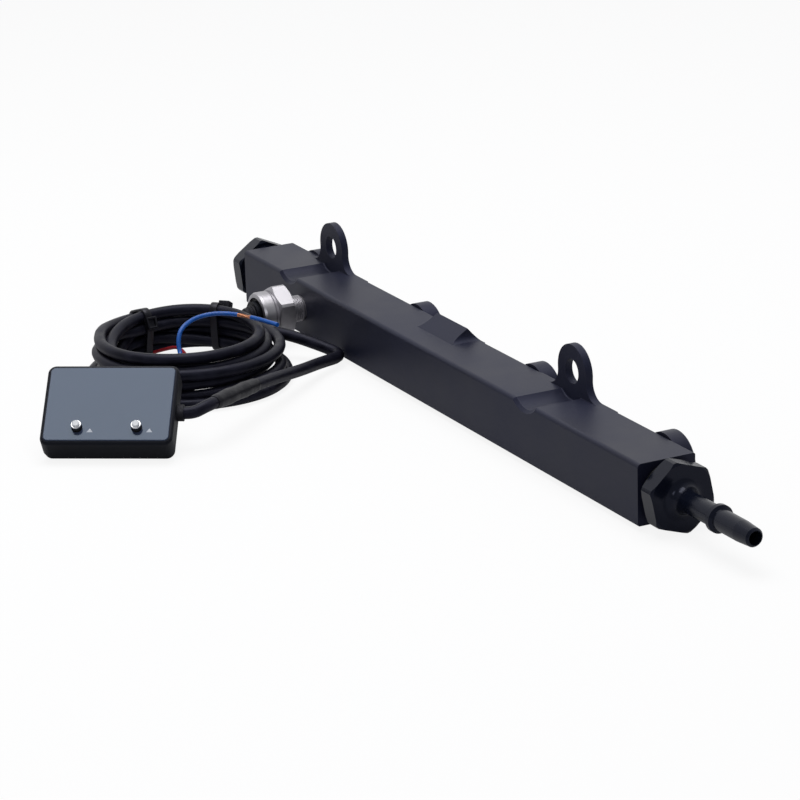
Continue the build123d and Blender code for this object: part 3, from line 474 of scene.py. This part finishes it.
# The turns are let settle: each strand keeps to a smooth line near its course, is pushed off
# the strands that it meets, and stays between the floor, the coil's hollow and its outside.
# At the back these limits give way, and at last the courses hold the strands less firmly.
strand_gap, least_distance = 4.86, 0.01
sweeps, firm_sweeps, late_hold, pushes = 700, 600, 0.2, 4
smoothing = 0.35
bottom, top, hollow, outside = -30.7, -14.9, 26.6, 41.5
bottom_give, top_give, hollow_give, outside_give = 2.4, 1.7, 7.5, 3.5
for settling in range(sweeps):
    hold = 1.0 if settling < firm_sweeps else late_hold
    for (cable_name, step), here in strands.items():
        before = strands.get((cable_name, step - 1))
        after = strands.get((cable_name, step + 1))
        *aim, firmness = aims[cable_name, step]
        for axis in (0, 1):
            if before and after:
                here[axis] += smoothing * ((before[axis] + after[axis]) / 2 - here[axis])
            here[axis] += hold * firmness * (aim[axis] - here[axis])
    for angle, keys in sections.items():
        for sweep in range(pushes):
            for upper in range(len(keys)):
                for lower in range(upper):
                    one, other = strands[keys[upper]], strands[keys[lower]]
                    across, down = one[0] - other[0], one[1] - other[1]
                    distance = max(math.hypot(across, down), least_distance)
                    if distance < strand_gap:
                        push = 0.5 * (strand_gap - distance) / distance
                        one[0] += across * push
                        one[1] += down * push
                        other[0] -= across * push
                        other[1] -= down * push
            for key in keys:
                here = strands[key]
                back = at_back(angle)
                lowest, highest = bottom + bottom_give * back, top + top_give * back
                nearest, furthest = hollow + hollow_give * back, outside + outside_give * back
                here[1] = min(max(here[1], lowest), highest)
                here[0] = min(max(here[0], nearest), furthest)


def wound(cable_name):
    """The settled turns of one cable as points in metres."""
    stops = winds[cable_name]
    points = []
    for step, angle in enumerate(range(stops[0][0], stops[-1][0] + 1, turn_step)):
        radius, height = strands[cable_name, step]
        x = coil_x + radius * math.cos(math.radians(angle))
        y = coil_y + radius * math.sin(math.radians(angle))
        points.append((x / 1000, y / 1000, height / 1000))
    return points


def run_of(name, points, thickness, sides=5):
    """A round cable or wire along a smooth curve with these control points."""
    curve = bpy.data.curves.new(name, "CURVE")
    curve.dimensions = "3D"
    curve.bevel_depth = thickness / 2
    curve.bevel_resolution = sides
    curve.resolution_u = 5
    curve.use_fill_caps = True
    spline = curve.splines.new("NURBS")
    spline.points.add(len(points) - 1)
    for control, (x, y, z) in zip(spline.points, points):
        control.co = (x, y, z, 1.0)
    spline.order_u = 3
    spline.use_endpoint_u = True
    made = bpy.data.objects.new(name, curve)
    bpy.context.scene.collection.objects.link(made)
    return made


def line_of(run):
    """The points of a run's own centreline."""
    copy = run.copy()
    copy.data = run.data.copy()
    copy.data.bevel_depth = 0.0
    bpy.context.scene.collection.objects.link(copy)
    bpy.context.view_layer.update()
    evaluated = copy.evaluated_get(bpy.context.evaluated_depsgraph_get())
    mesh = bpy.data.meshes.new_from_object(evaluated)
    points = [vertex.co.copy() for vertex in mesh.vertices]
    bpy.data.objects.remove(copy)
    bpy.data.meshes.remove(mesh)
    return points


jacket = Finish("cable_jacket", 0.38, IOR=1.38, Specular_Tint=(0.42, 0.43, 0.6, 1.0))
rub = jacket.noise(220.0, 3.0)
pores = jacket.noise(2400.0, 2.0)
deep, pale = (0.004, 0.004, 0.008, 1.0), (0.010, 0.010, 0.018, 1.0)
jacket.colour(jacket.tint(jacket.spread(rub, 0.35, 0.65), deep, pale))
jacket.rough(jacket.spread(rub, 0.3, 0.7, 0.33, 0.48) + pores * 0.05)
jacket.bump(pores, 0.00002)

sensor_exit = (-0.0884, -0.0491, -0.0200)
sensor_route = [
    sensor_exit,
    (-0.0884, -0.0530, -0.0197),
    (-0.0942, -0.0578, -0.0186),
]
sensor_cable = run_of("sensor_cable", sensor_route + wound("sensor"), cable_thickness)
sensor_cable.data.materials.append(jacket.material)
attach(sensor_cable, "rail")
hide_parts("sensor_lead", "cable_coil")

meter_exit = (0.01536, -0.12216, -0.01855)
meter_route = [
    meter_exit,
    (0.01730, -0.11913, -0.01855),
    (0.01740, -0.11470, -0.01700),
    (0.01480, -0.10880, -0.01670),
    (-0.00860, -0.07870, -0.02050),
    (-0.02720, -0.05370, -0.02550),
    (-0.03930, -0.03900, -0.02800),
    (-0.04720, -0.02400, -0.02960),
    (-0.05850, -0.03050, -0.02690),
    (-0.06750, -0.03950, -0.02340),
    (-0.07450, -0.04720, -0.02240),
]
meter_cable = run_of("meter_cable", meter_route + wound("meter"), cable_thickness)
meter_cable.data.materials.append(jacket.material)
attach(meter_cable, "rail")
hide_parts("meter_lead")

# The heat shrink sleeve over the joint in the meter's end of the cable: a thin black tube,
# shrunk down at both ends and slightly lumpy over the joined cores.
shrink_black = Finish("shrink_tube", 0.42, IOR=1.45, Specular_Tint=(0.5, 0.5, 0.6, 1.0))
creases = shrink_black.noise(420.0, 3.0)
deep, pale = (0.004, 0.004, 0.006, 1.0), (0.010, 0.010, 0.013, 1.0)
shrink_black.colour(shrink_black.tint(creases, deep, pale))
shrink_black.rough(shrink_black.spread(creases, 0.3, 0.7, 0.36, 0.5))
shrink_black.bump(creases, 0.00012)


def stations(points, start, end, spacing):
    """Points and directions at even spacing between two lengths along a line."""
    found, travelled = [], 0.0
    target = start
    for here, there in zip(points, points[1:]):
        gap = (there - here).length
        while gap > 0 and target <= travelled + gap and target <= end:
            point = here.lerp(there, (target - travelled) / gap)
            found.append((point, (there - here).normalized()))
            target += spacing
        travelled += gap
    return found


def skin_along(name, rings, sides):
    """A closed round skin over rings of (centre, direction, radius or a radius for each side)."""
    vertices, faces = [], []
    for centre, direction, radius in rings:
        side = direction.cross(Vector((0, 0, 1))).normalized()
        over = side.cross(direction)
        for corner in range(sides):
            angle = 2 * math.pi * corner / sides
            reach = radius[corner] if isinstance(radius, list) else radius
            vertices.append(centre + reach * (math.cos(angle) * side + math.sin(angle) * over))
    for ring in range(len(rings) - 1):
        for corner in range(sides):
            following = (corner + 1) % sides
            low, high = ring * sides, (ring + 1) * sides
            faces.append((low + corner, high + corner, high + following, low + following))
    faces.append(tuple(range(sides)))
    faces.append(tuple(reversed(range((len(rings) - 1) * sides, len(rings) * sides))))
    mesh = bpy.data.meshes.new(name)
    mesh.from_pydata(vertices, [], faces)
    made = bpy.data.objects.new(name, mesh)
    bpy.context.scene.collection.objects.link(made)
    bpy.ops.object.select_all(action="DESELECT")
    made.select_set(True)
    bpy.context.view_layer.objects.active = made
    bpy.ops.object.mode_set(mode="EDIT")
    bpy.ops.mesh.select_all(action="SELECT")
    bpy.ops.mesh.normals_make_consistent(inside=False)
    bpy.ops.object.mode_set(mode="OBJECT")
    bpy.ops.object.shade_smooth_by_angle(angle=math.radians(40))
    return made


meter_line = line_of(meter_cable)
sensor_line = line_of(sensor_cable)
shrink_start, shrink_end, shrink_spacing = 0.0138, 0.0470, 0.0006
shrink_radius, end_step, end_length = 0.00285, 0.00030, 0.0016
sleeve_sides = 28
lumps = ((0.00030, 0.32, 0.13), (0.00026, 0.7, 0.1))
covered = stations(meter_line, shrink_start, shrink_end, shrink_spacing)
rings = []
for number, (centre, direction) in enumerate(covered):
    share = number * shrink_spacing / (shrink_end - shrink_start)
    from_end = min(share, 1 - share) * (shrink_end - shrink_start)
    swell = sum(rise * math.exp(-(((share - crest) / half) ** 2)) for rise, crest, half in lumps)
    step_down = end_step * max(0.0, 1 - from_end / end_length)
    rings.append((centre, direction, shrink_radius + swell - step_down))
shrink = skin_along("joint_heat_shrink", rings, sleeve_sides)
shrink.data.materials.append(shrink_black.material)
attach(shrink, "rail")
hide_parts("heat_shrink")

# Both cables end inside the coil, one over the other. A short oval sleeve is shrunk over their
# joint, and the supply wires come out of its mouth.
splice_start, splice_mouth, splice_end = 306, 335, 341
splice_radius, splice_height = 27.9, -26.3
splice_wide, splice_high, squareness = 0.0030, 0.0050, 2.6
narrower_each_degree = 0.07
rings = []
for angle in range(splice_start, splice_end):
    heading = math.radians(angle)
    x = coil_x + splice_radius * math.cos(heading)
    y = coil_y + splice_radius * math.sin(heading)
    narrowing = 1.0 - narrower_each_degree * max(0, angle - splice_mouth)
    reaches = []
    for side in range(sleeve_sides):
        bearing = 2 * math.pi * side / sleeve_sides
        across = abs(math.cos(bearing)) / splice_wide
        over = abs(math.sin(bearing)) / splice_high
        reaches.append(narrowing * (across**squareness + over**squareness) ** (-1 / squareness))
    direction = Vector((-math.sin(heading), math.cos(heading), 0.0))
    rings.append((Vector((x, y, splice_height)) / 1000, direction, reaches))
splice = skin_along("splice_sleeve", rings, sleeve_sides)
splice.data.materials.append(shrink_black.material)
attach(splice, "rail")

# The cable ties: black nylon straps drawn tight round all the turns, their tails cut off. A
# strap follows the turns that it holds, with its head on the coil's inner or outer shoulder.
nylon = Finish("nylon_tie", 0.34, IOR=1.5, Specular_Tint=(0.55, 0.55, 0.65, 1.0))
flow = nylon.noise(700.0, 2.0)
nylon.colour(nylon.tint(flow, (0.004, 0.004, 0.006, 1.0), (0.009, 0.009, 0.012, 1.0)))
nylon.rough(nylon.spread(flow, 0.3, 0.7, 0.28, 0.42))
tie_width, tie_thickness, tie_clearance = 0.0030, 0.0010, 0.00005
head_size = (0.0050, 0.0046, 0.0028)
mouth_rim, mouth_depth = 0.0009, 0.0013
strap_rounding, head_rounding = 0.0002, 0.00025
coil_inside, coil_outside = 0.020, 0.0470

# Each tie has its angle round the coil, the slant that its head faces at, and how many points
# of the strap's outline the head has slid on from there.
ties = ({"angle": 188.0, "slant": 160.0, "slide": 4}, {"angle": 136.0, "slant": 62.0, "slide": 0})


def directions_at(angle):
    """The level directions outwards and round the coil at one of its angles."""
    outwards = Vector((math.cos(math.radians(angle)), math.sin(math.radians(angle)), 0))
    return outwards, Vector((-outwards.y, outwards.x, 0))


def crossings(line, angle):
    """Where a cable's line passes through the upright half plane at an angle of the coil."""
    outwards, across = directions_at(angle)
    found = []
    for here, there in zip(line, line[1:]):
        a, b = (here - coil_middle).dot(across), (there - coil_middle).dot(across)
        if a * b <= 0 and a != b:
            point = here.lerp(there, a / (a - b)) - coil_middle
            if coil_inside < point.dot(outwards) < coil_outside:
                found.append((point.dot(outwards), point.z))
    return found


def round_outline(strand_places, clear, corners=40, count=72):
    """The tight outline round some strands, as evenly spaced points."""
    reach = cable_thickness / 2 + clear
    dots = []
    for r, z in strand_places:
        for corner in range(corners):
            bearing = 2 * math.pi * corner / corners
            dots.append((r + reach * math.cos(bearing), z + reach * math.sin(bearing)))
    dots.sort()

    def lies_inside(first, middle, last):
        run, rise = middle[0] - first[0], middle[1] - first[1]
        return run * (last[1] - first[1]) <= rise * (last[0] - first[0])

    def half(ordered):
        kept = []
        for dot in ordered:
            while len(kept) > 1 and lies_inside(kept[-2], kept[-1], dot):
                kept.pop()
            kept.append(dot)
        return kept[:-1]

    loop = half(dots) + half(dots[::-1])
    lengths = [math.dist(a, b) for a, b in zip(loop, loop[1:] + loop[:1])]
    spacing = sum(lengths) / count
    even, travelled, target = [], 0.0, 0.0
    for (a, b), length in zip(zip(loop, loop[1:] + loop[:1]), lengths):
        while target < travelled + length and len(even) < count:
            share = (target - travelled) / length
            even.append((a[0] + (b[0] - a[0]) * share, a[1] + (b[1] - a[1]) * share))
            target += spacing
        travelled += length
    return even


cord_pieces = {"sensor": [splice], "meter": [shrink]}
for number, tie in enumerate(ties, start=1):
    held = crossings(meter_line, tie["angle"]) + crossings(sensor_line, tie["angle"])
    outline = round_outline(held, tie_clearance)
    outwards, across = directions_at(tie["angle"])
    bpy.ops.object.select_all(action="DESELECT")
    bpy.ops.mesh.primitive_circle_add(vertices=len(outline), radius=0.01)
    strap = bpy.context.object
    strap.name = f"cable_tie_strap_{number}"
    for vertex, (r, z) in zip(strap.data.vertices, outline):
        vertex.co = coil_middle + outwards * r - across * (tie_width / 2) + Vector((0, 0, z))
    bpy.ops.object.mode_set(mode="EDIT")
    bpy.ops.mesh.select_all(action="SELECT")
    bpy.ops.mesh.extrude_region_move(TRANSFORM_OT_translate={"value": across * tie_width})
    bpy.ops.mesh.select_all(action="SELECT")
    bpy.ops.mesh.normals_make_consistent(inside=False)
    bpy.ops.object.mode_set(mode="OBJECT")
    wall = strap.modifiers.new("wall", "SOLIDIFY")
    wall.thickness = tie_thickness
    wall.offset = 1.0
    edge = strap.modifiers.new("edge", "BEVEL")
    edge.width = strap_rounding
    edge.segments = 2
    edge.limit_method = "ANGLE"
    edge.angle_limit = math.radians(50)
    for modifier in ("wall", "edge"):
        bpy.ops.object.modifier_apply(modifier=modifier)
    bpy.ops.object.shade_smooth_by_angle(angle=math.radians(35))
    slant = math.radians(tie["slant"])
    facing = (math.cos(slant), math.sin(slant))
    standing_out = [r * facing[0] + z * facing[1] for r, z in outline]
    foremost = standing_out.index(max(standing_out))
    seat = outline[(foremost + tie["slide"]) % len(outline)]
    outward_normal = outwards * facing[0] + Vector((0, 0, facing[1]))
    along_strap = outwards * facing[1] - Vector((0, 0, facing[0]))
    head_turn = Matrix((along_strap, -across, outward_normal)).transposed().to_4x4()
    lift = outward_normal * (tie_thickness * 0.6 + head_size[2] / 2)
    head_place = coil_middle + outwards * seat[0] + Vector((0, 0, seat[1])) + lift
    bpy.ops.object.select_all(action="DESELECT")
    bpy.ops.mesh.primitive_cube_add(size=1.0)
    head = bpy.context.object
    head.name = f"cable_tie_head_{number}"
    bpy.ops.object.mode_set(mode="EDIT")
    bpy.ops.transform.resize(value=head_size)
    bpy.ops.mesh.select_all(action="DESELECT")
    bpy.ops.object.mode_set(mode="OBJECT")
    for face in head.data.polygons:
        face.select = face.normal.z > 0.9
    bpy.ops.object.mode_set(mode="EDIT")
    bpy.ops.mesh.inset(thickness=mouth_rim)
    bpy.ops.mesh.extrude_region_move(TRANSFORM_OT_translate={"value": (0, 0, -mouth_depth)})
    bpy.ops.object.mode_set(mode="OBJECT")
    edge = head.modifiers.new("edge", "BEVEL")
    edge.width = head_rounding
    edge.segments = 2
    bpy.ops.object.modifier_apply(modifier="edge")
    head.data.transform(Matrix.Translation(head_place) @ head_turn)
    bpy.ops.object.shade_smooth_by_angle(angle=math.radians(35))
    for piece in (strap, head):
        piece.data.materials.append(nylon.material)
        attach(piece, "rail")
    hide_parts(f"cable_tie_{number}")
    cord_pieces["meter"] += [strap, head]


def length_of(line):
    """The length of a line through some points."""
    return sum((b - a).length for a, b in zip(line, line[1:]))


# The two supply wires: stranded copper in blue and red insulation. They leave the splice inside
# the coil. The blue one is stripped near its end, and the cut insulation guards the strands.
wire_blue = Finish("blue_insulation", 0.3, IOR=1.5)
sheen = wire_blue.noise(500.0, 2.0)
blue_tint = wire_blue.tint(sheen, (0.004, 0.085, 0.40, 1.0), (0.008, 0.125, 0.54, 1.0))
blue_thickness, blue_spacing, wire_sides = 0.0018, 0.0004, 24
strip_from_end, strip_to_end, strip_thickness = 0.0215, 0.0152, 0.0012
outer_strands, strand_bulge, strand_twist = 6, 0.00009, 900.0
strip_floor = -0.0125
blue_route = [
    (-0.0357, -0.0984, -0.0254),
    (-0.0346, -0.0945, -0.0246),
    (-0.0375, -0.0906, -0.0238),
    (-0.0450, -0.0902, -0.0238),
    (-0.0530, -0.0910, -0.0240),
    (-0.0580, -0.0908, -0.0236),
    (-0.0625, -0.0898, -0.0212),
    (-0.0648, -0.0893, -0.0168),
    (-0.0672, -0.0868, -0.0128),
    (-0.0712, -0.0792, -0.0108),
    (-0.0712, -0.0716, -0.0102),
    (-0.0684, -0.0662, -0.0102),
    (-0.0637, -0.0622, -0.0104),
    (-0.0588, -0.0596, -0.0105),
    (-0.0527, -0.0567, -0.0108),
    (-0.0447, -0.0543, -0.0110),
]
guide = run_of("blue_supply_guide", blue_route, blue_thickness)
blue_line = line_of(guide)
bpy.data.objects.remove(guide)
blue_length = length_of(blue_line)
strip_start, strip_end = blue_length - strip_from_end, blue_length - strip_to_end
bearings = [2 * math.pi * side / wire_sides for side in range(wire_sides)]
rings = []
for number, (centre, direction) in enumerate(stations(blue_line, 0.0, blue_length, blue_spacing)):
    travelled = number * blue_spacing
    if strip_start < travelled < strip_end:
        twist = travelled * strand_twist
        waves = [math.cos(outer_strands * bearing + twist) for bearing in bearings]
        reaches = [strip_thickness / 2 + strand_bulge * wave for wave in waves]
        rings.append((centre, direction, reaches))
    else:
        rings.append((centre, direction, blue_thickness / 2))
blue_wire = skin_along("blue_supply_wire", rings, wire_sides)

# The copper's colour is kept to the stripped length: between its two ends, and above the
# strands, so that it doesn't come out where the same wire passes lower down.
stripped = stations(blue_line, strip_start, strip_end + blue_spacing, blue_spacing)
strip_first, strip_last = stripped[0][0], stripped[-1][0]
strip_way = (strip_last - strip_first).normalized()
run_in = wire_blue.along(tuple(strip_way))
copper = (run_in > strip_first.dot(strip_way)) * (run_in < strip_last.dot(strip_way))
copper = copper * (wire_blue.along((0.0, 0.0, 1.0)) > strip_floor)
wire_blue.colour(wire_blue.tint(copper, blue_tint, (0.62, 0.27, 0.15, 1.0)))
wire_blue.metal(copper)
wire_blue.rough(wire_blue.spread(sheen, 0.3, 0.7, 0.26, 0.38))
blue_wire.data.materials.append(wire_blue.material)
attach(blue_wire, "rail")
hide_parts("power_wire_blue")

# The red wire: thinner and cut off plain. It leaves the splice's mouth under the blue one,
# crosses the coil's hollow and ends under the turns on the far side.
wire_red = Finish("red_insulation", 0.3, IOR=1.5)
sheen = wire_red.noise(500.0, 2.0)
wire_red.colour(wire_red.tint(sheen, (0.26, 0.012, 0.018, 1.0), (0.4, 0.02, 0.03, 1.0)))
wire_red.rough(wire_red.spread(sheen, 0.3, 0.7, 0.26, 0.38))
red_thickness = 0.0014
red_route = [
    (-0.0357, -0.0984, -0.0272),
    (-0.0348, -0.0940, -0.0272),
    (-0.0385, -0.0895, -0.0272),
    (-0.0470, -0.0873, -0.0266),
    (-0.0560, -0.0870, -0.0256),
    (-0.0640, -0.0860, -0.0250),
    (-0.0720, -0.0838, -0.0245),
    (-0.0820, -0.0826, -0.0250),
    (-0.0901, -0.0851, -0.0280),
    (-0.0945, -0.0890, -0.0300),
    (-0.0950, -0.0920, -0.0312),
]
red_wire = run_of("red_supply_wire", red_route, red_thickness, 4)
red_wire.data.materials.append(wire_red.material)
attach(red_wire, "rail")
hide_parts("power_wire_red")
red_length = length_of(line_of(red_wire))

# The pressure meter: a shallow black moulded case in two halves, closed from below by four
# screws, with a smoke tinted panel glued into its top over the digits.
for node in ("meter_case", "meter_bottom_cover"):
    dress(node, moulding_black)
dress("meter_sleeve", soft_black)

meter_corner = Vector((0.0086, -0.1506, -0.03432))
face_right = Vector((0.538771, 0.842452, 0.0))
face_up = Vector((-0.663862, 0.424561, 0.615661))
face_normal = Vector((0.518665, -0.3317, 0.788011))
smoke = Finish("smoked_face", 0.14, IOR=1.5, Specular_Tint=(0.72, 0.86, 1.0, 1.0))
haze = smoke.noise(40.0, 2.0)
panel = smoke.tint(haze, (0.034, 0.045, 0.086, 1.0), (0.048, 0.062, 0.112, 1.0))

# Beside each button a small pale triangle is printed on the panel, point up.
mark_width, mark_height, mark_base = 0.0023, 0.0017, 0.0049
rightwards = smoke.along(tuple(face_right)) - meter_corner.dot(face_right)
upwards = smoke.along(tuple(face_up)) - meter_corner.dot(face_up)
marks = 0.0
for mark_middle in (-0.0062, 0.0163):
    off_middle = rightwards - mark_middle
    slope = 2 * mark_height / mark_width
    left_side = off_middle * slope + (mark_base + mark_height)
    right_side = (mark_base + mark_height) - off_middle * slope
    marks = (upwards > mark_base) * (upwards < left_side.at_most(right_side)) + marks
smoke.colour(smoke.tint(marks, panel, (0.52, 0.54, 0.60, 1.0)))
smoke.rough(smoke.spread(haze, 0.3, 0.7, 0.1, 0.17) + marks * 0.3)
dress("meter_face", smoke)

# Under the panel and the case: the unlit digit module, and the four cover screws in plated
# steel that close the case from below.
digit_black = Finish("display_module", 0.3)
specks = digit_black.noise(900.0, 2.0)
digit_black.colour(digit_black.tint(specks, (0.02, 0.02, 0.022, 1.0), (0.04, 0.04, 0.044, 1.0)))
dress("meter_display", digit_black)
screw_steel = Finish("screw_steel", 0.3, Metallic=1.0)
plating = screw_steel.noise(1500.0, 2.0)
screw_steel.colour(screw_steel.tint(plating, (0.42, 0.42, 0.43, 1.0), (0.6, 0.6, 0.61, 1.0)))
dress("meter_screws", screw_steel)

# The push buttons: a black stem in the panel's hole with a bright ring and a pale dome on its
# end, over a small square switch on the board.
switch_black = Finish("switch_housing", 0.4)
mottle = switch_black.noise(1200.0, 2.0)
deep, pale = (0.008, 0.008, 0.009, 1.0), (0.018, 0.018, 0.02, 1.0)
switch_black.colour(switch_black.tint(mottle, deep, pale))
for node in ("meter_switch_left", "meter_switch_right", "button_stem_left", "button_stem_right"):
    dress(node, switch_black)

cap_finish = Finish("button_cap", 0.25)
meter_thickness, cap_proud, dome_height, ring_rounding = 0.0123, 0.0033, 0.0008, 0.00005
ring_level = meter_corner.dot(face_normal) + meter_thickness + cap_proud
ring_level += ring_rounding - dome_height
dome = cap_finish.along(tuple(face_normal)) > ring_level
glint = cap_finish.noise(800.0, 2.0)
dome_colour = cap_finish.tint(glint, (0.70, 0.72, 0.76, 1.0), (0.8, 0.82, 0.86, 1.0))
cap_finish.colour(cap_finish.tint(dome, (0.74, 0.74, 0.76, 1.0), dome_colour))
cap_finish.metal(1 - dome)
cap_finish.rough(0.18 + dome * 0.14)
dress("button_cap_left", cap_finish)
dress("button_cap_right", cap_finish)
